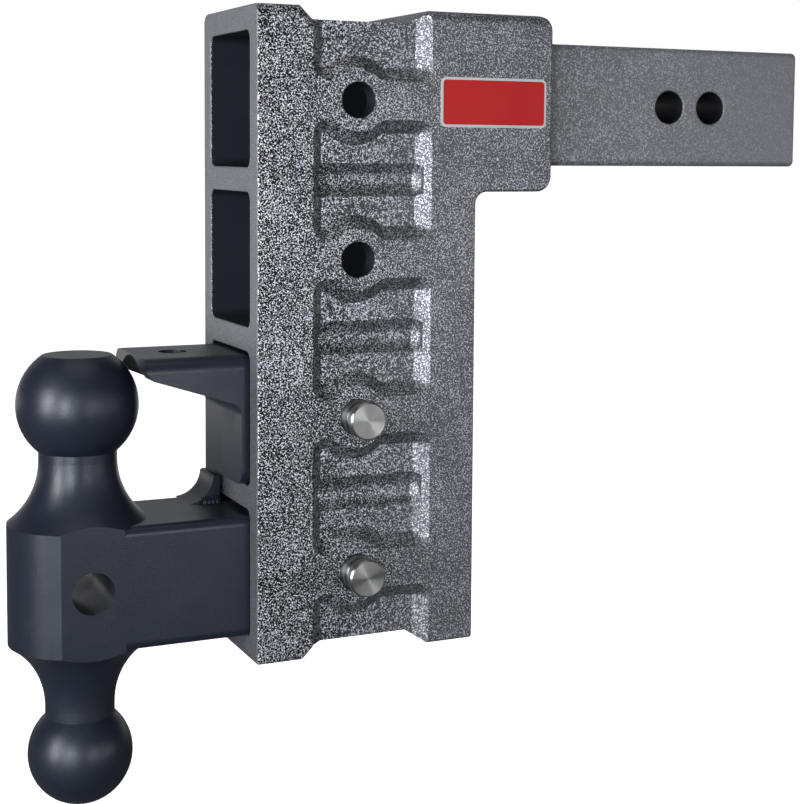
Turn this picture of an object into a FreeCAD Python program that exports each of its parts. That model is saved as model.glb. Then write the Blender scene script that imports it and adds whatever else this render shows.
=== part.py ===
import FreeCAD, Part
import math
import os

# Adjustable drop hitch: a cast column of four stacked receivers on a square tow-bar shank, carrying a
# one-piece dual ball mount and a pintle lock, each held by a stainless pin with a hairpin clip.
# Millimetres. The origin is the centre of the outer hitch-pin bore in the shank. +X runs along the
# shank towards the vehicle, +Z is up, and the pin heads are on the -Y side.

# Shank
shank_side = 63.5
shank_corner = 3.2
shank_tail = 57.5            # outer bore to the free end
shank_end_round = 2.0
hitch_bore = 17.5
hitch_bore_pitch = 26.5
hitch_bore_round = 1.4

# Rear block that takes the shank
block_reach = 105.0          # outer bore to the block's rear face
block_length = 43.5
block_height = 90.0
block_corner = 8.0
block_root_fillet = 6.5
socket_depth = 46.0

# Receiver column
column_width = 84.0
column_depth = 117.0
column_edge_round = 1.5
column_top_corner = 5.0
column_foot_corner = 1.5
receiver_rows = 4
receiver_pitch = 78.0
receiver_width = 62.0
receiver_height = 66.0
lowest_receiver_height = 63.3
receiver_depth = 97.0
receiver_corner = 5.0
receiver_mouth_round = 1.0
roof_wall = 12.0
floor_wall = 10.8
pin_setback = 52.5           # front face to the pin bores
receiver_bore = 17.5
receiver_bore_round = 0.6

# Relief of the column's outer faces
relief_depth = 6.5
relief_front = 23.0          # front rim length, on the top and bottom faces
relief_rear = 91.5
relief_front_run = 6.5
relief_rear_run = 10.0
pocket_front = 28.8
pocket_rear = 92.0
pocket_corner = 7.5
pocket_run = 6.5             # draft of the pocket walls
pocket_mouth_round = 1.0
land_half = 9.5              # half height of the band at each pin row
boss_radius = 15.5
boss_blend = 3.0
groove_width = 16.5
groove_depth = 3.5

# Dual ball mount, in the lowest receiver
mount_side_gap = 0.4
mount_seat_gap = 0.4
mount_top_gap = 2.9
mount_end_gap = 9.0          # tail end to the receiver's end wall
mount_corner_ease = 0.5      # receiver corner radius over the mount's edge radius
mount_reach = 77.0           # column front face to the ball axis
turned_radius = 34.2
flare_radius = 38.0
upper_ball = 58.74
upper_ball_rise = 86.0       # ball centre above the bar's mid-plane
upper_ball_flat = 24.2       # ball centre to the flat
upper_neck = 18.8
upper_flare_end = 29.0
lower_ball = 50.8
lower_ball_drop = 86.0
lower_ball_flat = 24.1
lower_neck = 16.8
lower_flare_end = 30.0
ball_flat_round = 1.2
side_hole = 20.5

# Eye stop welded on top of the mount, flush with its far side
stop_width = 22.6
stop_height = 13.6
stop_thickness = 3.6
stop_setback = 2.6           # column front face to the stop's rear face
stop_sweep = 13.6            # radius of the hollow front ramp
stop_crest_round = 1.4
stop_weld = 3.6

# Pintle lock, in the third receiver
lock_side_gap = 1.5
lock_seat_gap = 0.4
lock_top_gap = 1.4
lock_end_gap = 12.0
lock_edge_round = 7.0
lock_stand = 3.5             # block's front face, in front of the column
lock_root_fillet = 7.0
tongue_reach = 50.6          # column front face to the tip
tongue_tip_face = 6.0        # upright part of the tip
tongue_tip_height = 10.5
tongue_tip_slant = 3.6
tongue_root_height = 24.6
tongue_hole = 14.0
tongue_hole_reach = 29.6
ball_relief_gap = 7.5
ball_relief_drop = 3.0       # relief centre below the ball's centre

# Pins and clips
bore_clearance = 0.1         # radial, pin in bore
pin_stand = 5.0              # plain shank outside the column
pin_groove_length = 4.5
pin_groove_depth = 2.6
pin_head_length = 5.0
pin_head_extra = 0.7         # head radius over shank radius
pin_head_chamfer = 0.8
pin_tail = 16.0
pin_end_chamfer = 1.6
clip_wire = 3.8
clip_hole_clearance = 0.1
clip_side_gap = 2.0          # column far side to the clip
clip_leg = 18.0              # straight leg past the pin axis, away from the loop
clip_loop_rise = 26.0
clip_loop = 6.4
clip_wave = 2.6
clip_pin_gap = 0.6
clip_seat = 2.0              # straight part of the waved leg, past the pin on each side
clip_loop_leg = 4.0          # straight part beside the loop

# Side badge
badge_length = 60.0
badge_height = 25.0
badge_thickness = 0.6
badge_corner = 3.0
badge_setback = 34.0         # block rear face to the badge centre

# Places that follow from the sizes
side = column_width / 2
block_rear = -block_reach
column_rear = block_rear - block_length
column_front = column_rear - column_depth
receiver_end = column_front + receiver_depth
pin_x = column_front + pin_setback
column_top = receiver_height / 2 + roof_wall
row_z = [-receiver_pitch * row for row in range(receiver_rows)]
lock_z = row_z[-2]
mount_z = row_z[-1]
lowest_floor = mount_z + receiver_height / 2 - lowest_receiver_height
column_bottom = lowest_floor - floor_wall
mount_half_width = receiver_width / 2 - mount_side_gap
mount_edge_round = receiver_corner - mount_corner_ease
mount_bottom = lowest_floor + mount_seat_gap
mount_top = mount_z + receiver_height / 2 - mount_top_gap
mount_mid = (mount_top + mount_bottom) / 2
lock_half_width = receiver_width / 2 - lock_side_gap
lock_bottom = lock_z - receiver_height / 2 + lock_seat_gap
lock_top = lock_z + receiver_height / 2 - lock_top_gap
ball_x = column_front - mount_reach
pin_radius = receiver_bore / 2 - bore_clearance
clip_y = side + clip_side_gap + clip_wire / 2


def vec(x, y, z):
    return FreeCAD.Vector(x, y, z)


def box(x0, x1, y0, y1, z0, z1):
    return Part.makeBox(x1 - x0, y1 - y0, z1 - z0, vec(x0, y0, z0))


def bore(diameter, x, z, length):
    """A round bar along Y, centred on y = 0."""
    return Part.makeCylinder(diameter / 2, length, vec(x, -length / 2, z), vec(0, 1, 0))


def plate(points, y0, y1):
    """A flat outline given as (x, z) points, made solid from y0 to y1."""
    wire = Part.makePolygon([vec(x, y0, z) for x, z in points + points[:1]])
    return Part.Face(wire).extrude(vec(0, y1 - y0, 0))


def edges_where(shape, test):
    return [edge for edge in shape.Edges if not edge.Degenerated and test(edge)]


def runs_along(edge, direction):
    """True for a straight edge parallel to the direction."""
    if not isinstance(edge.Curve, Part.Line):
        return False
    return edge.Curve.Direction.cross(direction).Length < 1e-6


def is_circle(edge, radius):
    return isinstance(edge.Curve, Part.Circle) and abs(edge.Curve.Radius - radius) < 1e-4


def on_plane(edge, axis, value):
    box_of = edge.BoundBox
    low = (box_of.XMin, box_of.YMin, box_of.ZMin)[axis]
    high = (box_of.XMax, box_of.YMax, box_of.ZMax)[axis]
    return abs(low - value) < 1e-4 and abs(high - value) < 1e-4


def middle(edge):
    return edge.valueAt((edge.FirstParameter + edge.LastParameter) / 2)


def turned(points_and_arcs, axis_x):
    """A solid of revolution about a vertical axis at axis_x from a list of edges in the XZ plane."""
    face = Part.Face(Part.Wire(points_and_arcs))
    return face.revolve(vec(axis_x, 0, 0), vec(0, 0, 1), 360)


def line(a, b):
    return Part.makeLine(a, b)


def arc(a, b, c):
    return Part.Arc(a, b, c).toShape()


def save(shape, node):
    os.makedirs("parts", exist_ok=True)
    shape.exportStep("parts/" + node + ".step")


def square_bar(x0, x1, half_width, z0, z1, corner):
    """A bar along X with a rounded rectangular section."""
    bar = box(x0, x1, -half_width, half_width, z0, z1)
    return bar.makeFillet(corner, edges_where(bar, lambda e: runs_along(e, vec(1, 0, 0))))


# Shank


def shank_envelope():
    half = shank_side / 2
    return square_bar(block_rear - socket_depth, shank_tail, half, -half, half, shank_corner)


def make_shank():
    bar = shank_envelope()
    bar = bar.makeFillet(shank_end_round, edges_where(bar, lambda e: on_plane(e, 0, shank_tail)))
    for x in (0.0, -hitch_bore_pitch):
        bar = bar.cut(bore(hitch_bore, x, 0.0, shank_side + 2))
    rims = edges_where(bar, lambda e: is_circle(e, hitch_bore / 2)
                       and (on_plane(e, 1, -shank_side / 2) or on_plane(e, 1, shank_side / 2)))
    return bar.makeFillet(hitch_bore_round, rims)


# Receiver column


def casting_blank():
    """The column and its rear block as one L-shaped casting; its front edges are still sharp."""
    block_top = column_top
    block_bottom = block_top - block_height
    outline = [(column_front, column_bottom), (column_rear, column_bottom), (column_rear, block_bottom),
               (block_rear, block_bottom), (block_rear, block_top), (column_front, block_top)]
    blank = plate(outline, -side, side)
    radii = [(column_rear, block_bottom, block_root_fillet), (block_rear, block_bottom, block_corner),
             (block_rear, block_top, block_corner), (column_rear, column_bottom, column_foot_corner)]
    for x, z, radius in radii:
        corner = edges_where(blank, lambda e: runs_along(e, vec(0, 1, 0))
                             and math.hypot(middle(e).x - x, middle(e).z - z) < 0.01)
        blank = blank.makeFillet(radius, corner)
    rims = edges_where(blank, lambda e: (on_plane(e, 1, -side) or on_plane(e, 1, side))
                       and not on_plane(e, 0, column_front))
    return blank.makeFillet(column_edge_round, rims).common(space_under_top())


def end_relief(face_z, sign):
    """The shallow channel across the top (sign 1) or bottom (sign -1) face of the column."""
    front = column_front + relief_front
    rear = column_front + relief_rear
    floor = face_z - sign * relief_depth
    over = face_z + sign * relief_depth
    outline = [(front - relief_front_run, over), (front, face_z), (front + relief_front_run, floor),
               (rear - relief_rear_run, floor), (rear, face_z), (rear + relief_rear_run, over)]
    return plate(outline, -side - 1, side + 1)


def space_under_top():
    """The space under the column's top face, with the top relief and the rounded long edges."""
    over = column_top_corner
    space = box(column_front - over, block_rear + over, -side, side, column_bottom - over, column_top)
    space = space.cut(end_relief(column_top, 1))
    edges = edges_where(space, lambda e: (on_plane(e, 1, -side) or on_plane(e, 1, side))
                        and middle(e).z > column_top - relief_depth - 0.01)
    return space.makeFillet(column_top_corner, edges)


def pocket_wire(low, high, boss_rows):
    """Mouth outline of a side pocket, in the plane y = 0, with the pin bosses left standing."""
    x0 = column_front + pocket_front
    x1 = column_front + pocket_rear
    outline = Part.makePlane(x1 - x0, high - low, vec(x0, 0, low), vec(0, -1, 0), vec(1, 0, 0))
    for z in boss_rows:
        disc = Part.Face(Part.Wire(Part.makeCircle(boss_radius, vec(pin_x, 0, z), vec(0, -1, 0))))
        outline = outline.cut(disc)
    wire = outline.Faces[0].OuterWire
    wire = Part.Wire(wire.makeOffset2D(boss_blend).Edges)
    wire = Part.Wire(wire.makeOffset2D(-boss_blend - pocket_corner).Edges)
    return Part.Wire(wire.makeOffset2D(pocket_corner).Edges)


def side_pocket(low, high, boss_rows, sign):
    """A drafted pocket cutter on the side with the given sign of y."""
    mouth = pocket_wire(low, high, boss_rows)
    floor = Part.Wire(mouth.makeOffset2D(-pocket_run).Edges)
    mouth.translate(vec(0, sign * side, 0))
    floor.translate(vec(0, sign * (side - relief_depth), 0))
    return Part.makeLoft([floor, mouth], True, True)


def divider_groove(z, sign):
    """A shallow round-bottomed channel along X in the pocket floor, with coned ends."""
    half = groove_width / 2
    radius = (half ** 2 + groove_depth ** 2) / (2 * groove_depth)
    floor_y = side - relief_depth
    centre_y = sign * (floor_y - groove_depth + radius)
    x0 = column_front + pocket_front + pocket_run
    x1 = column_front + pocket_rear - pocket_run
    bar = Part.makeCylinder(radius, x1 - x0, vec(x0, centre_y, z), vec(1, 0, 0))
    front = Part.makeCone(radius, radius - groove_depth, groove_depth, vec(x0, centre_y, z), vec(-1, 0, 0))
    rear = Part.makeCone(radius, radius - groove_depth, groove_depth, vec(x1, centre_y, z), vec(1, 0, 0))
    cutter = bar.fuse([front, rear])
    inner, outer = sorted((sign * (floor_y - relief_depth), sign * (floor_y + relief_depth)))
    keep = box(x0 - groove_depth, x1 + groove_depth, inner, outer, z - half, z + half)
    return cutter.common(keep)


def receiver_hollow(row):
    """The rounded rectangular hole of one receiver, from the front face to its end wall."""
    z = row_z[row]
    low = z - receiver_height / 2
    if row == receiver_rows - 1:
        low = lowest_floor
    high = z + receiver_height / 2
    half = receiver_width / 2
    hollow = box(column_front - 1, receiver_end, -half, half, low, high)
    return hollow.makeFillet(receiver_corner, edges_where(hollow, lambda e: runs_along(e, vec(1, 0, 0))))


def make_receiver_column():
    casting = casting_blank()
    casting = casting.cut(end_relief(column_bottom, -1))
    front_edges = edges_where(casting, lambda e: on_plane(e, 0, column_front))
    casting = casting.makeFillet(column_edge_round, front_edges)
    over = receiver_pitch
    for sign in (-1, 1):
        levels = [row_z[0] + over] + row_z + [row_z[-1] - over]
        for upper, lower in zip(levels, levels[1:]):
            high = upper - land_half
            low = lower + land_half
            rows = [z for z in (upper, lower) if z in row_z]
            casting = casting.cut(side_pocket(low, high, rows, sign))
        for upper, lower in zip(row_z, row_z[1:]):
            casting = casting.cut(divider_groove((upper + lower) / 2, sign))
    mouths = edges_where(casting, lambda e: (on_plane(e, 1, -side) or on_plane(e, 1, side))
                         and column_front + pocket_front - 1e-3 <= e.BoundBox.XMin
                         and e.BoundBox.XMax <= column_front + pocket_rear + 1e-3)
    casting = casting.makeFillet(pocket_mouth_round, mouths)
    for row in range(receiver_rows):
        casting = casting.cut(receiver_hollow(row))
        casting = casting.cut(bore(receiver_bore, pin_x, row_z[row], column_width + 2))
    mouths = edges_where(casting, lambda e: on_plane(e, 0, column_front)
                         and e.BoundBox.YMax < side - column_edge_round - 1
                         and e.BoundBox.YMin > -side + column_edge_round + 1)
    casting = casting.makeFillet(receiver_mouth_round, mouths)
    rims = edges_where(casting, lambda e: is_circle(e, receiver_bore / 2)
                       and (on_plane(e, 1, -side) or on_plane(e, 1, side)))
    casting = casting.makeFillet(receiver_bore_round, rims)
    return casting.cut(shank_envelope())


# Dual ball mount


def ball_profile(centre_z, radius, flat, neck, flare_z, sign):
    """Edges from the turned end's rim up the flare and neck, round the ball, to its flat on the axis.

    centre_z and flare_z are heights from the bar's mid-plane; sign is 1 for the upper ball and -1 below.
    """
    def at(r, z):
        return vec(ball_x - r, 0, mount_mid + sign * z)

    swing = math.acos(1 - (turned_radius - neck) / flare_radius)
    neck_z = flare_z + flare_radius * math.sin(swing)
    half = swing / 2
    flare_mid = at(neck + flare_radius * (1 - math.cos(half)), neck_z - flare_radius * math.sin(half))
    ball_start = centre_z - math.sqrt(radius ** 2 - neck ** 2)
    flat_radius = math.sqrt(radius ** 2 - flat ** 2)
    return [line(at(0, 0), at(turned_radius, 0)),
            line(at(turned_radius, 0), at(turned_radius, flare_z)),
            arc(at(turned_radius, flare_z), flare_mid, at(neck, neck_z)),
            line(at(neck, neck_z), at(neck, ball_start)),
            arc(at(neck, ball_start), at(radius, centre_z), at(flat_radius, centre_z + flat)),
            line(at(flat_radius, centre_z + flat), at(0, centre_z + flat)),
            line(at(0, centre_z + flat), at(0, 0))]


def turned_ball(centre_z, diameter, flat, neck, flare_z, sign):
    shape = turned(ball_profile(centre_z, diameter / 2, flat, neck, flare_z, sign), ball_x)
    flat_edge = edges_where(shape, lambda e: on_plane(e, 2, mount_mid + sign * (centre_z + flat)))
    return shape.makeFillet(ball_flat_round, flat_edge)


def make_ball_mount():
    half = mount_half_width
    bar = square_bar(ball_x, receiver_end - mount_end_gap, half, mount_bottom, mount_top, mount_edge_round)
    upper = turned_ball(upper_ball_rise, upper_ball, upper_ball_flat, upper_neck, upper_flare_end, 1)
    lower = turned_ball(lower_ball_drop, lower_ball, lower_ball_flat, lower_neck, lower_flare_end, -1)
    reach = upper_ball_rise + upper_ball
    slab = box(ball_x - upper_ball, ball_x + upper_ball, -half, half, mount_mid - reach, mount_mid + reach)
    mount = bar.fuse([upper.common(slab), lower.common(slab)])
    mount = mount.cut(bore(side_hole, ball_x, mount_mid, column_width))
    mount = mount.cut(bore(receiver_bore, pin_x, mount_z, column_width))
    return mount.removeSplitter()


def make_eye_stop():
    """A short horn that keeps a tow ring off the column, with a hollow ramp on its front."""
    rear = column_front - stop_setback
    front = rear - stop_thickness
    crest = mount_top + stop_height
    toe = front - stop_sweep
    ramp_end = crest - (stop_height - stop_sweep)
    bend = stop_sweep * math.sqrt(0.5)
    ramp_mid = vec(toe + bend, 0, mount_top + stop_sweep - bend)
    wire = Part.Wire([line(vec(rear, 0, mount_top), vec(rear, 0, crest)),
                      line(vec(rear, 0, crest), vec(front, 0, crest)),
                      arc(vec(front, 0, ramp_end), ramp_mid, vec(toe, 0, mount_top)),
                      line(vec(toe, 0, mount_top), vec(rear, 0, mount_top))])
    wire.translate(vec(0, mount_half_width - stop_width, 0))
    stop = Part.Face(wire).extrude(vec(0, stop_width, 0))
    crest_edges = edges_where(stop, lambda e: runs_along(e, vec(0, 1, 0)) and abs(middle(e).z - crest) < 1e-3)
    return stop.makeFillet(stop_crest_round, crest_edges)


def make_eye_stop_weld():
    """The weld bead along the foot of the stop's near side."""
    rear = column_front - stop_setback
    start = vec(rear - stop_thickness - stop_sweep / 2, mount_half_width - stop_width, mount_top)
    length = stop_thickness + stop_sweep / 2
    bead = Part.makeCylinder(stop_weld, length, start, vec(1, 0, 0))
    keep = box(start.x, rear, start.y - stop_weld, start.y, mount_top, mount_top + stop_weld)
    return bead.common(keep)


# Pintle lock


def make_pintle_lock():
    tip = column_front - tongue_reach
    face = column_front - lock_stand
    tail = receiver_end - lock_end_gap
    root = lock_top - tongue_root_height
    outline = [(tip, lock_top), (tip, lock_top - tongue_tip_face),
               (tip + tongue_tip_slant, lock_top - tongue_tip_height), (face, root),
               (face, lock_bottom), (tail, lock_bottom), (tail, lock_top)]
    lock = plate(outline, -lock_half_width, lock_half_width)
    root_edge = edges_where(lock, lambda e: runs_along(e, vec(0, 1, 0)) and abs(middle(e).x - face) < 1e-3
                            and abs(middle(e).z - root) < 1e-3)
    lock = lock.makeFillet(lock_root_fillet, root_edge)
    long_edges = edges_where(lock, lambda e: runs_along(e, vec(1, 0, 0)))
    lock = lock.makeFillet(lock_edge_round, long_edges)
    lock = lock.cut(bore(receiver_bore, pin_x, lock_z, column_width))
    hole_x = column_front - tongue_hole_reach
    lock = lock.cut(Part.makeCylinder(tongue_hole / 2, receiver_height, vec(hole_x, 0, lock_z)))
    relief_z = mount_mid + upper_ball_rise - ball_relief_drop
    relief = Part.makeSphere(upper_ball / 2 + ball_relief_gap, vec(ball_x, 0, relief_z))
    return lock.cut(relief)


# Pins, clips and badge


def make_pin(z):
    """A pin along Y through one receiver row, with a grooved head on the -Y side."""
    face = -side
    groove_start = face - pin_stand
    groove_end = groove_start - pin_groove_length
    head_end = groove_end - pin_head_length
    head_radius = pin_radius + pin_head_extra
    tail_end = side + pin_tail
    waist = pin_radius - pin_groove_depth

    def at(r, y):
        return vec(pin_x + r, y, z)

    bevel = pin_head_chamfer
    point = pin_end_chamfer
    wire = Part.Wire([line(at(0, head_end), at(head_radius - bevel, head_end)),
                      line(at(head_radius - bevel, head_end), at(head_radius, head_end + bevel)),
                      line(at(head_radius, head_end + bevel), at(head_radius, groove_end)),
                      line(at(head_radius, groove_end), at(pin_radius, groove_end)),
                      arc(at(pin_radius, groove_end), at(waist, (groove_start + groove_end) / 2),
                          at(pin_radius, groove_start)),
                      line(at(pin_radius, groove_start), at(pin_radius, tail_end - point)),
                      line(at(pin_radius, tail_end - point), at(pin_radius - point, tail_end)),
                      line(at(pin_radius - point, tail_end), at(0, tail_end)),
                      line(at(0, tail_end), at(0, head_end))])
    pin = Part.Face(wire).revolve(vec(pin_x, 0, z), vec(0, 1, 0), 360)
    hole_radius = clip_wire / 2 + clip_hole_clearance
    cross = Part.makeCylinder(hole_radius, 4 * pin_radius, vec(pin_x, clip_y, z - 2 * pin_radius))
    return pin.cut(cross)


def make_clip(z, sign):
    """A hairpin clip in the XZ plane: a straight leg through the pin and a waved leg beside it.

    The loop stands above the pin when sign is 1 and hangs below it when sign is -1.
    """
    reach = pin_radius + clip_pin_gap + clip_wire / 2
    gap = 2 * clip_loop

    def at(x, rise):
        return vec(pin_x + x, clip_y, z + sign * rise)

    leg = [at(0, -clip_leg), at(0, clip_loop_rise)]
    seat = pin_radius + clip_seat
    wave = [at(gap, clip_loop_rise), at(gap, clip_loop_rise - clip_loop_leg), at(reach, seat),
            at(reach + clip_wave, 0), at(reach, -seat), at(reach + clip_wave, -clip_leg)]
    curve = Part.BSplineCurve()
    curve.interpolate(wave[1:])
    path = Part.Wire([line(leg[0], leg[1]),
                      arc(leg[1], at(clip_loop, clip_loop_rise + clip_loop), wave[0]),
                      line(wave[0], wave[1]),
                      curve.toShape()])
    section = Part.Wire(Part.makeCircle(clip_wire / 2, leg[0], vec(0, 0, 1)))
    return path.makePipeShell([section], True, False)


def make_badge():
    """A plain raised plate with rounded corners on the near side of the block."""
    x = block_rear - badge_setback
    z = column_top - block_height / 2
    sheet = box(x - badge_length / 2, x + badge_length / 2, -side - badge_thickness, -side,
                z - badge_height / 2, z + badge_height / 2)
    return sheet.makeFillet(badge_corner, edges_where(sheet, lambda e: runs_along(e, vec(0, 1, 0))))


save(make_shank(), "shank")
save(make_receiver_column(), "receiver_column")
save(make_badge(), "side_badge")
save(make_ball_mount(), "ball_mount")
save(make_eye_stop(), "eye_stop")
save(make_eye_stop_weld(), "eye_stop_weld")
save(make_pintle_lock(), "pintle_lock")
for name, row_height, loop_side in (("ball_mount_pin", mount_z, -1), ("pintle_lock_pin", lock_z, 1)):
    save(make_pin(row_height), name)
    save(make_clip(row_height, loop_side), name + "_clip")
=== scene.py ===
import math

import bmesh
import bpy
from mathutils import Matrix, Vector


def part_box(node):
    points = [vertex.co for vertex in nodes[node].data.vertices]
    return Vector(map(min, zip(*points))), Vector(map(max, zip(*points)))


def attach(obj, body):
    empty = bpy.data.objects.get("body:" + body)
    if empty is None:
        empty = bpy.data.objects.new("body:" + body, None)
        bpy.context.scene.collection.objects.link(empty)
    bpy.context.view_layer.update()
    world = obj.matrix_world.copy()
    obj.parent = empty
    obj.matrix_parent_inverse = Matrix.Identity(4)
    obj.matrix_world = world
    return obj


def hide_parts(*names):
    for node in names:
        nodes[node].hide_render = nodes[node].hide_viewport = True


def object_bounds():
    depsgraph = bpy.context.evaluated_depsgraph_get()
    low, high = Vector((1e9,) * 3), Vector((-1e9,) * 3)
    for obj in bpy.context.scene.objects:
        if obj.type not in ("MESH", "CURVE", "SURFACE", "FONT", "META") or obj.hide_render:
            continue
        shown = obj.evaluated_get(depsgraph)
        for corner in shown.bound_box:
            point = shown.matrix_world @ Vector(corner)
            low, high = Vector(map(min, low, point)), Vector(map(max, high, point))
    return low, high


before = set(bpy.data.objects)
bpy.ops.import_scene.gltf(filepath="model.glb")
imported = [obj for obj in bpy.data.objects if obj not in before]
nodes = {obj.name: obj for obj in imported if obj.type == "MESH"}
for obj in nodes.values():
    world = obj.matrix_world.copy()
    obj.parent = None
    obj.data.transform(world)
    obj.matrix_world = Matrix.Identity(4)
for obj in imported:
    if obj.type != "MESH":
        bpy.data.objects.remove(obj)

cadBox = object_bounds()
mm = 0.001


# Node graph helpers

def newMaterial(name):
    mat = bpy.data.materials.new(name)
    mat.use_nodes = True
    tree = mat.node_tree
    return mat, tree, tree.nodes["Principled BSDF"]


def addNode(tree, kind, **settings):
    node = tree.nodes.new(kind)
    for key, value in settings.items():
        setattr(node, key, value)
    return node


def feed(tree, value, socket):
    # a socket takes a link from another socket, a colour or a plain number
    if isinstance(value, bpy.types.NodeSocket):
        tree.links.new(value, socket)
    elif socket.type == "RGBA" and len(value) == 3:
        socket.default_value = tuple(value) + (1.0,)
    else:
        socket.default_value = value


def mathNode(tree, operation, *values):
    node = addNode(tree, "ShaderNodeMath", operation=operation)
    for value, socket in zip(values, node.inputs):
        feed(tree, value, socket)
    return node.outputs[0]


def plus(tree, a, b):
    return mathNode(tree, "ADD", a, b)


def minus(tree, a, b):
    return mathNode(tree, "SUBTRACT", a, b)


def times(tree, product, *factors):
    for factor in factors:
        product = mathNode(tree, "MULTIPLY", product, factor)
    return product


def complement(tree, value):
    return minus(tree, 1.0, value)


def mixColours(tree, factor, a, b):
    node = addNode(tree, "ShaderNodeMix", data_type="RGBA")
    feed(tree, factor, node.inputs[0])
    feed(tree, a, node.inputs[6])
    feed(tree, b, node.inputs[7])
    return node.outputs[2]


def smoothBetween(tree, value, low, high):
    # 0 below low, 1 above high, eased between
    node = addNode(tree, "ShaderNodeMapRange", interpolation_type="SMOOTHSTEP")
    feed(tree, value, node.inputs["Value"])
    feed(tree, low, node.inputs["From Min"])
    feed(tree, high, node.inputs["From Max"])
    return node.outputs["Result"]


def noise(tree, coords, scale, detail, roughness=0.5, distortion=0.0):
    node = addNode(tree, "ShaderNodeTexNoise")
    feed(tree, coords, node.inputs["Vector"])
    feed(tree, scale, node.inputs["Scale"])
    feed(tree, detail, node.inputs["Detail"])
    feed(tree, roughness, node.inputs["Roughness"])
    feed(tree, distortion, node.inputs["Distortion"])
    return node.outputs["Fac"]


def objectPoint(tree):
    return addNode(tree, "ShaderNodeTexCoord").outputs["Object"]


def axesOf(tree, vector):
    parts = addNode(tree, "ShaderNodeSeparateXYZ")
    feed(tree, vector, parts.inputs[0])
    return parts.outputs[0], parts.outputs[1], parts.outputs[2]


def fromAxis(tree, x, z, axisX, axisZ):
    # distance from a line along Y
    offX = minus(tree, x, axisX)
    offZ = minus(tree, z, axisZ)
    return mathNode(tree, "SQRT", plus(tree, times(tree, offX, offX), times(tree, offZ, offZ)))


def bumpInto(tree, shader, height, strength, distance):
    bump = addNode(tree, "ShaderNodeBump")
    feed(tree, strength, bump.inputs["Strength"])
    feed(tree, distance, bump.inputs["Distance"])
    feed(tree, height, bump.inputs["Height"])
    feed(tree, bump.outputs["Normal"], shader.inputs["Normal"])


def darker(colour, share):
    return tuple(share * c for c in colour)


def newGroup(name, inputs, outputs):
    group = bpy.data.node_groups.new(name, "ShaderNodeTree")
    for socketName, kind, value in inputs:
        socket = group.interface.new_socket(socketName, in_out="INPUT", socket_type=kind)
        socket.default_value = value
    for socketName, kind in outputs:
        group.interface.new_socket(socketName, in_out="OUTPUT", socket_type=kind)
    return group, addNode(group, "NodeGroupInput").outputs, addNode(group, "NodeGroupOutput").inputs


def placeGroup(tree, group, values):
    node = addNode(tree, "ShaderNodeGroup", node_tree=group)
    for key, value in values.items():
        feed(tree, value, node.inputs[key])
    return node.outputs


# Shared surface effects

veinShape = {
    "detail": 0.6, "roughness": 0.55, "distortion": 0.9, "level": 0.58,
    "driftSize": 60.0, "driftDetail": 2.0, "drift": 0.12, "middleTone": 0.2,
}
grainShape = {
    "grainDetail": 2.0, "speckDetail": 1.0, "speckShare": 0.5, "speckRange": (0.35, 0.7),
    "smudgeSize": 38.0, "smudgeDetail": 5.0, "smudgeRoughness": 0.62, "smudgeRange": (0.45, 0.72),
}
ringShape = {"detail": 3.0, "roughness": 0.7}


def buildVeinCoat(shape):
    # hammertone powder coat: pale islands between dark veins, with the relief that goes with them
    group, source, sink = newGroup("veinCoat", [
        ("Island Size", "NodeSocketFloat", 700.0), ("Vein Width", "NodeSocketFloat", 0.1),
        ("Dark", "NodeSocketColor", (0.02, 0.02, 0.02, 1)),
        ("Light", "NodeSocketColor", (0.4, 0.4, 0.42, 1)),
        ("Evenness", "NodeSocketFloat", 0.3)],
        [("Color", "NodeSocketColor"), ("Relief", "NodeSocketFloat"), ("Islands", "NodeSocketFloat")])
    coords = objectPoint(group)
    worm = noise(group, coords, source["Island Size"],
                 shape["detail"], shape["roughness"], shape["distortion"])
    drift = minus(group, noise(group, coords, shape["driftSize"], shape["driftDetail"]), 0.5)
    height = plus(group, worm, times(group, drift, shape["drift"]))
    islands = smoothBetween(group, height, minus(group, shape["level"], source["Vein Width"]),
                            plus(group, shape["level"], source["Vein Width"]))
    speckled = mixColours(group, islands, source["Dark"], source["Light"])
    even = mixColours(group, shape["middleTone"], source["Dark"], source["Light"])
    feed(group, mixColours(group, source["Evenness"], speckled, even), sink["Color"])
    feed(group, height, sink["Relief"])
    feed(group, islands, sink["Islands"])
    return group


def buildFineGrain(shape):
    # orange peel and tiny specks of a thin satin coat over worked steel
    group, source, sink = newGroup("fineGrain", [
        ("Grain Size", "NodeSocketFloat", 900.0), ("Speck Size", "NodeSocketFloat", 2200.0),
        ("Amount", "NodeSocketFloat", 0.5)],
        [("Height", "NodeSocketFloat"), ("Variation", "NodeSocketFloat"), ("Smudge", "NodeSocketFloat")])
    coords = objectPoint(group)
    grain = noise(group, coords, source["Grain Size"], shape["grainDetail"])
    speck = noise(group, coords, source["Speck Size"], shape["speckDetail"])
    smudge = noise(group, coords, shape["smudgeSize"], shape["smudgeDetail"], shape["smudgeRoughness"])
    both = plus(group, grain, times(group, speck, shape["speckShare"]))
    feed(group, times(group, both, source["Amount"]), sink["Height"])
    feed(group, smoothBetween(group, speck, *shape["speckRange"]), sink["Variation"])
    feed(group, smoothBetween(group, smudge, *shape["smudgeRange"]), sink["Smudge"])
    return group


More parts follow.
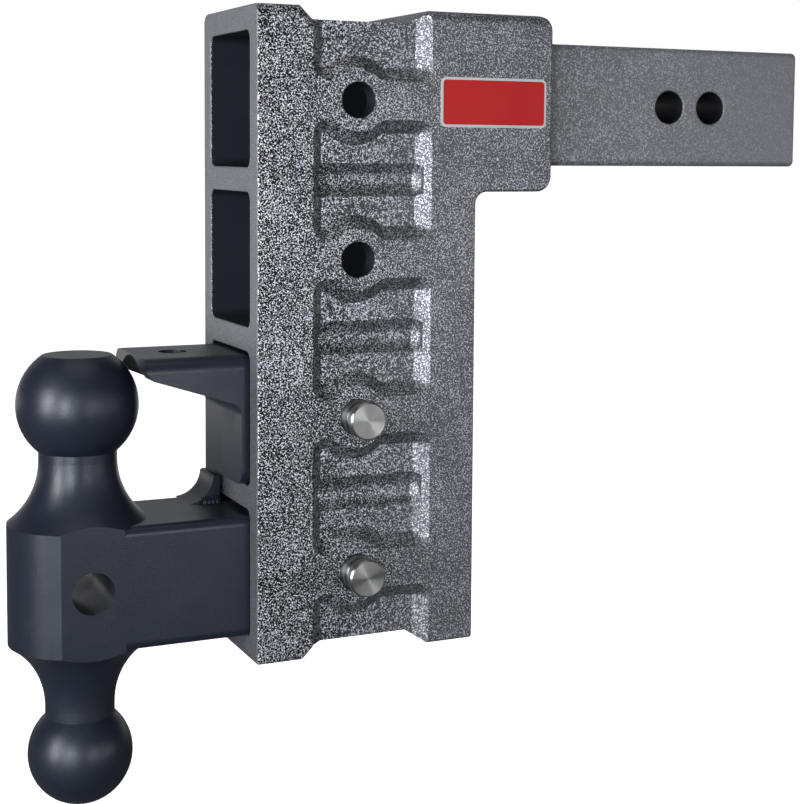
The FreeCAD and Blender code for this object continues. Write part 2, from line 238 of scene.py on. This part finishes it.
def buildTurnedRings(shape):
    # fine tool rings: feed the distance that grows across them
    group, source, sink = newGroup("turnedRings", [
        ("Distance", "NodeSocketFloat", 0.0), ("Pitch", "NodeSocketFloat", 3000.0)],
        [("Height", "NodeSocketFloat")])
    wobble = addNode(group, "ShaderNodeTexNoise", noise_dimensions="1D")
    feed(group, shape["detail"], wobble.inputs["Detail"])
    feed(group, shape["roughness"], wobble.inputs["Roughness"])
    feed(group, source["Distance"], wobble.inputs["W"])
    feed(group, source["Pitch"], wobble.inputs["Scale"])
    feed(group, wobble.outputs["Fac"], sink["Height"])
    return group


veinCoat = buildVeinCoat(veinShape)
fineGrain = buildFineGrain(grainShape)
turnedRings = buildTurnedRings(ringShape)
print("surface effects built")


def placeCoat(tree, look, even):
    coat = placeGroup(tree, veinCoat, {
        "Island Size": look["islandSize"], "Vein Width": look["veinWidth"], "Dark": look["dark"],
        "Light": look["light"], "Evenness": even})
    # the islands are glossier than the veins
    rough = plus(tree, times(tree, coat["Islands"], -look["gloss"]), look["roughness"] + look["gloss"])
    return coat, rough


def evennessAlong(tree, x, start, end, first, last):
    return plus(tree, first, times(tree, smoothBetween(tree, x, start, end), last - first))


def boreMask(tree, x, z, boreX, boreZ, radius):
    # 1 on the wall of a hole along Y
    away = smoothBetween(tree, fromAxis(tree, x, z, boreX, boreZ), radius, radius + 0.2 * mm)
    return complement(tree, away)


# Receiver column

columnLook = {
    "islandSize": 1450.0, "veinWidth": 0.015, "dark": (0.001, 0.001, 0.002), "light": (0.76, 0.76, 0.80),
    "evenFront": 0.0, "evenRear": 0.52, "evenLength": 110 * mm, "flake": 0.6,
    "roughness": 0.34, "gloss": 0.08, "milledRoughness": 0.15, "insideRoughness": 0.42,
    "relief": 0.5, "reliefDepth": 0.4 * mm, "smoothness": 0.85,
    # the second front colour is a painted shade for the lower front face, where the mounts shade it
    "milled": (0.142, 0.142, 0.148), "milledInShade": (0.066, 0.067, 0.072), "milledShare": 0.9,
    "milledDepth": (0.3 * mm, 0.9 * mm), "frontShadeHeight": (-142 * mm, -108 * mm),
    # the inside colour is a painted shade for the receivers' hollows and the pin bores
    "shadedRecess": (0.010, 0.012, 0.017),
    "receiverSide": (31.2 * mm, 31.6 * mm), "receiverFront": (0.45 * mm, 1.35 * mm),
    "receiverEnd": (97.2 * mm, 98.2 * mm), "receiverTop": (33.6 * mm, 34.2 * mm),
    "receiverFloor": (10.3 * mm, 10.7 * mm),
    "boreX": 52.5 * mm, "boreRadius": 8.8 * mm, "boreRows": (0, -78 * mm, -156 * mm, -234 * mm),
}


def columnShadedRecess(tree, look, low, x, y, z):
    # painted shade: this mask picks out the hollows and bores that take a dark colour for the shade inside
    # them
    # the receivers are narrower than the column, behind its front face and ahead of the end wall
    def between(value, start, pair):
        return smoothBetween(tree, value, start + pair[0], start + pair[1])

    across = between(mathNode(tree, "ABSOLUTE", y), 0, look["receiverSide"])
    behind = between(x, low.x, look["receiverFront"])
    ahead = complement(tree, between(x, low.x, look["receiverEnd"]))
    below = complement(tree, between(z, 0, look["receiverTop"]))
    above = between(z, low.z, look["receiverFloor"])
    shadedRecess = times(tree, complement(tree, across), behind, ahead, below, above)
    # the pin bore walls take the same painted shade as the receivers
    for row in look["boreRows"]:
        bore = boreMask(tree, x, z, low.x + look["boreX"], row, look["boreRadius"])
        shadedRecess = mathNode(tree, "MAXIMUM", shadedRecess, bore)
    return shadedRecess


def buildColumnMaterial(look):
    mat, tree, shader = newMaterial("hammertoneCasting")
    low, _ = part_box("receiver_column")
    x, y, z = axesOf(tree, objectPoint(tree))
    # the coat is coarser and stronger at the front, and blends out over the rear
    even = evennessAlong(tree, x, low.x, low.x + look["evenLength"], look["evenFront"], look["evenRear"])
    coat, rough = placeCoat(tree, look, even)
    shadedRecess = columnShadedRecess(tree, look, low, x, y, z)
    # the front face is plain and even, because it is milled flat before coating
    front = complement(tree, smoothBetween(tree, x, *(low.x + depth for depth in look["milledDepth"])))
    # painted shade: the front face is darker towards the bottom, round the two fitted mounts, where they
    # shade it
    milled = mixColours(tree, smoothBetween(tree, z, *look["frontShadeHeight"]), look["milledInShade"], look["milled"])
    colour = mixColours(tree, times(tree, front, look["milledShare"]), coat["Color"], milled)
    # painted shade: the receivers and bores take a near-black colour for the shade inside them
    feed(tree, mixColours(tree, shadedRecess, colour, look["shadedRecess"]), shader.inputs["Base Color"])
    rough = plus(tree, rough, times(tree, front, look["milledRoughness"]))
    rough = plus(tree, rough, times(tree, shadedRecess, look["insideRoughness"] - look["roughness"]))
    feed(tree, rough, shader.inputs["Roughness"])
    plain = mathNode(tree, "MAXIMUM", shadedRecess, front)
    feed(tree, times(tree, complement(tree, plain), look["flake"]), shader.inputs["Metallic"])
    relief = times(tree, coat["Relief"], complement(tree, times(tree, plain, look["smoothness"])))
    bumpInto(tree, shader, relief, look["relief"], look["reliefDepth"])
    return mat


columnMaterial = buildColumnMaterial(columnLook)


# Shank

shankLook = {
    "islandSize": 1250.0, "veinWidth": 0.09, "dark": (0.055, 0.055, 0.057), "light": (0.46, 0.46, 0.48),
    "evenBlock": 0.42, "evenTail": 0.86, "evenStart": 50 * mm, "roughness": 0.38, "gloss": 0.08,
    "specular": 0.55, "relief": 0.25, "reliefDepth": 0.4 * mm,
    # the inside colour is a painted shade for the pin bores
    "shadedRecess": (0.006, 0.006, 0.008), "bores": (0, -26.5 * mm), "boreRadius": 8.8 * mm,
}


def buildShankMaterial(look):
    mat, tree, shader = newMaterial("hammertoneShank")
    low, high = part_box("shank")
    x, _, z = axesOf(tree, objectPoint(tree))
    even = evennessAlong(tree, x, low.x + look["evenStart"], high.x, look["evenBlock"], look["evenTail"])
    coat, rough = placeCoat(tree, look, even)
    bores = [boreMask(tree, x, z, boreX, 0, look["boreRadius"]) for boreX in look["bores"]]
    # painted shade: the pin bores take a near-black colour for the shade inside them
    shadedRecess = mathNode(tree, "MAXIMUM", *bores)
    feed(tree, mixColours(tree, shadedRecess, coat["Color"], look["shadedRecess"]), shader.inputs["Base Color"])
    feed(tree, rough, shader.inputs["Roughness"])
    shader.inputs["Specular IOR Level"].default_value = look["specular"]
    relief = times(tree, coat["Relief"], complement(tree, even))
    bumpInto(tree, shader, relief, look["relief"], look["reliefDepth"])
    return mat


shankMaterial = buildShankMaterial(shankLook)
print("column and shank coats built")


# Ball mount, eye stop and lock

mountLook = {
    "colour": (0.007, 0.0095, 0.0175), "paler": (0.015, 0.019, 0.031), "palerShare": 0.55,
    # the scuff colour is partly scuffing, partly a painted sheen on faces that look up
    "scuffAndSheen": (0.075, 0.074, 0.068), "scuffAndSheenShare": 0.6, "scuffAndSheenFacing": (0.75, 0.95),
    "grainSize": 1100.0, "speckSize": 2600.0, "roughness": 0.36, "smudgeRoughness": 0.10,
    "grain": 0.35, "bump": 0.5, "bumpDepth": 0.25 * mm,
    "rings": 0.25, "ringPitch": 1500.0, "turnedAxis": 34.5 * mm, "turnedReach": (33 * mm, 35 * mm),
}


def buildMountMaterial(look, name, withRings):
    mat, tree, shader = newMaterial(name)
    grain = placeGroup(tree, fineGrain, {
        "Grain Size": look["grainSize"], "Speck Size": look["speckSize"], "Amount": 1.0})
    # faces that look up get a lighter warm grey in patches: partly scuffs, partly a painted sheen of the
    # light from above
    _, _, up = axesOf(tree, addNode(tree, "ShaderNodeNewGeometry").outputs["Normal"])
    scuffedAndSheened = times(tree, grain["Smudge"], smoothBetween(tree, up, *look["scuffAndSheenFacing"]), look["scuffAndSheenShare"])
    pale = times(tree, grain["Variation"], look["palerShare"])
    colour = mixColours(tree, pale, look["colour"], look["paler"])
    feed(tree, mixColours(tree, scuffedAndSheened, colour, look["scuffAndSheen"]), shader.inputs["Base Color"])
    rough = plus(tree, times(tree, grain["Smudge"], look["smudgeRoughness"]), look["roughness"])
    feed(tree, rough, shader.inputs["Roughness"])
    height = times(tree, grain["Height"], look["grain"])
    if withRings:
        # tool rings stack up the turned end that carries the balls
        low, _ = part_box("ball_mount")
        x, _, z = axesOf(tree, objectPoint(tree))
        away = mathNode(tree, "ABSOLUTE", minus(tree, x, low.x + look["turnedAxis"]))
        nearAxis = complement(tree, smoothBetween(tree, away, *look["turnedReach"]))
        rings = placeGroup(tree, turnedRings, {"Distance": z, "Pitch": look["ringPitch"]})
        height = plus(tree, height, times(tree, rings["Height"], nearAxis, look["rings"]))
    bumpInto(tree, shader, height, look["bump"], look["bumpDepth"])
    return mat


mountMaterial = buildMountMaterial(mountLook, "blackForging", True)
lockMaterial = buildMountMaterial(mountLook, "blackLock", False)
print("black coats built")


# Pins and clips

pinLook = {
    "colour": (0.38, 0.37, 0.352), "ringTone": 0.82, "roughness": 0.32, "ringRoughness": 0.12,
    "ringPitch": 2200.0, "rings": 0.06, "ringDepth": 0.05 * mm, "slant": 1.7, "anisotropy": 0.85,
}
clipLook = {
    "colour": (0.50, 0.50, 0.50), "smudgeTone": 0.7, "smudgeShare": 1.0,
    "roughness": 0.3, "smudgeRoughness": 0.15, "metallic": 1.0, "specular": 0.5,
    "grainSize": 1800.0, "speckSize": 4000.0, "amount": 0.5, "bump": 0.2, "bumpDepth": 0.05 * mm,
}


def buildPinMaterial(look, node):
    mat, tree, shader = newMaterial("turnedSteel_" + node)
    low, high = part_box(node)
    centre = (low + high) / 2
    x, y, z = axesOf(tree, objectPoint(tree))
    # the rings run round the pin and round its ends
    along = plus(tree, fromAxis(tree, x, z, centre.x, centre.z), times(tree, y, look["slant"]))
    rings = placeGroup(tree, turnedRings, {"Distance": along, "Pitch": look["ringPitch"]})
    shade = mixColours(tree, rings["Height"], darker(look["colour"], look["ringTone"]), look["colour"])
    feed(tree, shade, shader.inputs["Base Color"])
    rough = plus(tree, times(tree, rings["Height"], look["ringRoughness"]),
                 look["roughness"] - look["ringRoughness"] / 2)
    feed(tree, rough, shader.inputs["Roughness"])
    shader.inputs["Metallic"].default_value = 1.0
    # the grooves run round the axis, so a quarter turn puts the streak of light along the radius
    around = addNode(tree, "ShaderNodeTangent", direction_type="RADIAL", axis="Y")
    feed(tree, around.outputs["Tangent"], shader.inputs["Tangent"])
    shader.inputs["Anisotropic Rotation"].default_value = 0.25
    shader.inputs["Anisotropic"].default_value = look["anisotropy"]
    bumpInto(tree, shader, rings["Height"], look["rings"], look["ringDepth"])
    return mat


def buildGrainyMaterial(name, look):
    mat, tree, shader = newMaterial(name)
    grain = placeGroup(tree, fineGrain, {
        "Grain Size": look["grainSize"], "Speck Size": look["speckSize"], "Amount": look["amount"]})
    smudge = times(tree, grain["Smudge"], look["smudgeShare"])
    shade = mixColours(tree, smudge, look["colour"], darker(look["colour"], look["smudgeTone"]))
    feed(tree, shade, shader.inputs["Base Color"])
    rough = plus(tree, times(tree, grain["Smudge"], look["smudgeRoughness"]), look["roughness"])
    feed(tree, rough, shader.inputs["Roughness"])
    shader.inputs["Metallic"].default_value = look["metallic"]
    shader.inputs["Specular IOR Level"].default_value = look["specular"]
    bumpInto(tree, shader, grain["Height"], look["bump"], look["bumpDepth"])
    return mat


clipMaterial = buildGrainyMaterial("springWire", clipLook)
print("pin and clip steel built")


def dress(node, mat):
    mesh = nodes[node].data
    mesh.materials.clear()
    mesh.materials.append(mat)


dress("receiver_column", columnMaterial)
dress("shank", shankMaterial)
dress("ball_mount", mountMaterial)
dress("eye_stop", mountMaterial)
dress("pintle_lock", lockMaterial)
for pin in ("ball_mount_pin", "pintle_lock_pin"):
    dress(pin, buildPinMaterial(pinLook, pin))
    dress(pin + "_clip", clipMaterial)


def newPiece(name, mesh, mat):
    data = bpy.data.meshes.new(name)
    mesh.to_mesh(data)
    mesh.free()
    data.materials.append(mat)
    piece = bpy.data.objects.new(name, data)
    bpy.context.scene.collection.objects.link(piece)
    return piece


# Badge: a pale rim round a plain enamel field

badge = {
    "rim": 1.3 * mm, "corner": 3.0 * mm, "fieldCorner": 1.8 * mm, "fieldStep": 0.18 * mm,
    "fieldOverlap": 0.05 * mm, "segments": 8, "rimBevel": 0.12 * mm, "fieldBevel": 0.1 * mm,
    "bevelSegments": 3,
}
enamelLook = {
    "grainSize": 700.0, "speckSize": 3000.0, "amount": 0.4, "smudgeShare": 0.3, "smudgeTone": 0.7,
    "smudgeRoughness": 0.12, "metallic": 0.0, "specular": 0.15, "bump": 0.12, "bumpDepth": 0.05 * mm,
}
rimLook = {**enamelLook, "colour": (0.5, 0.49, 0.47), "roughness": 0.35}
fieldLook = {**enamelLook, "colour": (0.42, 0.010, 0.010), "roughness": 0.28}


def roundedPlate(name, x0, x1, z0, z1, yBack, yFront, corner, bevel, mat):
    # a plate facing -Y with rounded corners and a softened front rim
    outline = []
    for cx, cz, start in ((x1 - corner, z1 - corner, 0), (x0 + corner, z1 - corner, 90),
                          (x0 + corner, z0 + corner, 180), (x1 - corner, z0 + corner, 270)):
        for step in range(badge["segments"] + 1):
            angle = math.radians(start + 90 * step / badge["segments"])
            outline.append((cx + corner * math.cos(angle), cz + corner * math.sin(angle)))
    mesh = bmesh.new()
    back = [mesh.verts.new((x, yBack, z)) for x, z in outline]
    front = [mesh.verts.new((x, yFront, z)) for x, z in outline]
    count = len(outline)
    for i in range(count):
        mesh.faces.new((back[i], back[(i + 1) % count], front[(i + 1) % count], front[i]))
    mesh.faces.new(front)
    mesh.faces.new(list(reversed(back)))
    bmesh.ops.recalc_face_normals(mesh, faces=mesh.faces)
    rim = [e for e in mesh.edges if all(abs(v.co.y - yFront) < 1e-7 for v in e.verts)]
    bmesh.ops.bevel(mesh, geom=rim, offset=bevel, segments=badge["bevelSegments"],
                    affect="EDGES", profile=0.5)
    return newPiece(name, mesh, mat)


def buildBadge():
    low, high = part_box("side_badge")
    inset = badge["rim"]
    step = low.y + badge["fieldStep"]
    plate = roundedPlate("badgeRim", low.x, high.x, low.z, high.z, high.y, step,
                         badge["corner"], badge["rimBevel"], buildGrainyMaterial("badgeRimPaint", rimLook))
    field = roundedPlate("badgeField", low.x + inset, high.x - inset, low.z + inset, high.z - inset,
                         step + badge["fieldOverlap"], low.y, badge["fieldCorner"], badge["fieldBevel"],
                         buildGrainyMaterial("badgeFieldEnamel", fieldLook))
    for piece in (plate, field):
        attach(piece, "frame")
    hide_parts("side_badge")


buildBadge()
print("badge built")


# Weld bead at the foot of the eye stop

bead = {"ripples": 5, "ripple": 0.07, "sections": 40, "sides": 14, "endSize": 0.55, "endRise": 6}


def buildBead():
    low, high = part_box("eye_stop_weld")
    width = high.y - low.y
    height = high.z - low.z
    mesh = bmesh.new()
    rings = []
    for i in range(bead["sections"] + 1):
        t = i / bead["sections"]
        x = low.x + (high.x - low.x) * t
        swell = 1 - bead["ripple"] * math.sin(math.pi * bead["ripples"] * t) ** 2
        reach = swell * min(1.0, bead["endSize"] + bead["endRise"] * min(t, 1 - t))
        ring = []
        for k in range(bead["sides"] + 1):
            angle = math.pi / 2 * k / bead["sides"]
            ring.append(mesh.verts.new((x, high.y - width * reach * math.cos(angle),
                                        low.z + height * reach * math.sin(angle))))
        ring.append(mesh.verts.new((x, high.y, low.z)))
        rings.append(ring)
    for a, b in zip(rings, rings[1:]):
        count = len(a)
        for k in range(count):
            mesh.faces.new((a[k], a[(k + 1) % count], b[(k + 1) % count], b[k]))
    mesh.faces.new(rings[0])
    mesh.faces.new(rings[-1])
    bmesh.ops.recalc_face_normals(mesh, faces=mesh.faces)
    piece = newPiece("weldBead", mesh, lockMaterial)
    piece.data.shade_smooth()
    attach(piece, "ball_mount_body")
    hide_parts("eye_stop_weld")


buildBead()
print("weld bead built")


# Floor, lights and camera

studio = {
    "floorSize": 60.0, "floorColour": (0.93, 0.93, 0.93), "floorGlow": 0.97, "floorRoughness": 0.9,
    "floorShade": (0.2, 0.2, 0.204), "sweepFloorLight": 1.0, "sweepFloorRange": (0.5, 0.9),
    "roomColour": (0.95, 0.96, 1.0), "roomLight": 0.075,
    "sweepLight": 0.35, "sweepRange": (0.5, 0.78), "sweepTowards": (0.42, 0.90, 0.08),
    "centre": (-0.2, 0, -0.15),
}
# azimuth from -Y towards -X, elevation, distance, width and height, power, colour
softboxes = {
    "keySoftbox": (39, 0, 1.6, (0.38, 0.8), 22, (0.84, 0.91, 1.0)),
    "leftSoftbox": (71, 3, 1.6, (0.35, 1.2), 28, (0.92, 0.95, 1.0)),
    "frontSoftbox": (-8, 2, 2.0, (0.3, 0.7), 7, (0.92, 0.95, 1.0)),
    "rightPanel": (-38, 0, 1.8, (1.5, 0.5), 5.6, (0.92, 0.95, 1.0)),
    "topSoftbox": (20, 80, 1.8, (1.4, 1.4), 4, (1.0, 0.97, 0.88)),
}
white = (1.0, 1.0, 1.0)


def towardsSweep(tree, vector):
    towards = addNode(tree, "ShaderNodeVectorMath", operation="DOT_PRODUCT")
    feed(tree, vector, towards.inputs[0])
    towards.inputs[1].default_value = studio["sweepTowards"]
    return towards.outputs["Value"]


def mixForCamera(tree, others, seen, output):
    # camera rays meet one surface, and all other rays meet another
    path = addNode(tree, "ShaderNodeLightPath")
    mix = addNode(tree, "ShaderNodeMixShader")
    feed(tree, path.outputs["Is Camera Ray"], mix.inputs[0])
    feed(tree, others.outputs[0], mix.inputs[1])
    feed(tree, seen.outputs[0], mix.inputs[2])
    feed(tree, mix.outputs[0], tree.nodes[output].inputs["Surface"])


def buildFloor():
    bpy.ops.mesh.primitive_plane_add(size=studio["floorSize"], location=(0, 0, cadBox[0][2]))
    floor = bpy.context.active_object
    floor.name = "studioFloor"
    mat, tree, shader = newMaterial("paleFloor")
    feed(tree, studio["floorColour"], shader.inputs["Base Color"])
    feed(tree, studio["floorGlow"], shader.inputs["Emission Strength"])
    shader.inputs["Specular IOR Level"].default_value = 0.0
    # near the object it throws back little light, as a low grey card would
    shade = addNode(tree, "ShaderNodeBsdfPrincipled")
    feed(tree, studio["floorShade"], shade.inputs["Base Color"])
    for surface in (shader, shade):
        feed(tree, studio["floorRoughness"], surface.inputs["Roughness"])
        feed(tree, white, surface.inputs["Emission Color"])
    far = smoothBetween(tree, towardsSweep(tree, objectPoint(tree)), *studio["sweepFloorRange"])
    feed(tree, times(tree, far, studio["sweepFloorLight"]), shade.inputs["Emission Strength"])
    mixForCamera(tree, shade, shader, "Material Output")
    floor.data.materials.append(mat)


def buildWorld():
    world = bpy.data.worlds.new("studioWorld")
    bpy.context.scene.world = world
    world.use_nodes = True
    tree = world.node_tree
    # a dim room with a white sweep behind the object
    room = tree.nodes["Background"]
    feed(tree, studio["roomColour"], room.inputs["Color"])
    direction = addNode(tree, "ShaderNodeTexCoord").outputs["Generated"]
    sweep = smoothBetween(tree, towardsSweep(tree, direction), *studio["sweepRange"])
    level = plus(tree, times(tree, sweep, studio["sweepLight"]), studio["roomLight"])
    feed(tree, level, room.inputs["Strength"])
    backdrop = addNode(tree, "ShaderNodeBackground")
    feed(tree, white, backdrop.inputs["Color"])
    mixForCamera(tree, room, backdrop, "World Output")


def buildSoftbox(name, azimuth, elevation, distance, size, power, colour):
    turn, lift = math.radians(azimuth), math.radians(elevation)
    direction = Vector((-math.sin(turn) * math.cos(lift), -math.cos(turn) * math.cos(lift), math.sin(lift)))
    light = bpy.data.lights.new(name, "AREA")
    light.shape = "RECTANGLE"
    light.size, light.size_y = size
    light.energy = power
    light.color = colour
    lamp = bpy.data.objects.new(name, light)
    bpy.context.scene.collection.objects.link(lamp)
    lamp.location = Vector(studio["centre"]) + direction * distance
    lamp.rotation_euler = (-direction).to_track_quat("-Z", "Y").to_euler()


camera = {
    "place": (-0.51768, -0.77095, -0.02469), "yaw": 24.904, "pitch": -4.431, "roll": 0.434,
    "lens": 72.517, "sensor": 36, "shiftX": -0.02586, "shiftY": -0.1573, "nearest": 0.01,
}


def buildCamera():
    yaw, pitch, roll = (math.radians(camera[k]) for k in ("yaw", "pitch", "roll"))
    ahead = Vector((math.sin(yaw) * math.cos(pitch), math.cos(yaw) * math.cos(pitch), math.sin(pitch)))
    levelRight = Vector((math.cos(yaw), -math.sin(yaw), 0))
    levelUp = levelRight.cross(ahead)
    right = levelRight * math.cos(roll) + levelUp * math.sin(roll)
    up = levelUp * math.cos(roll) - levelRight * math.sin(roll)
    data = bpy.data.cameras.new("camera")
    data.sensor_fit = "HORIZONTAL"
    data.sensor_width = camera["sensor"]
    data.lens = camera["lens"]
    data.shift_x = camera["shiftX"]
    data.shift_y = camera["shiftY"]
    data.clip_start = camera["nearest"]
    rig = bpy.data.objects.new("camera", data)
    bpy.context.scene.collection.objects.link(rig)
    turn = Matrix((right, up, -ahead)).transposed()
    rig.matrix_world = Matrix.Translation(camera["place"]) @ turn.to_4x4()
    bpy.context.scene.camera = rig


buildFloor()
buildWorld()
for name, settings in softboxes.items():
    buildSoftbox(name, *settings)
buildCamera()
bpy.context.scene.view_settings.view_transform = "Standard"
print("studio and camera built")
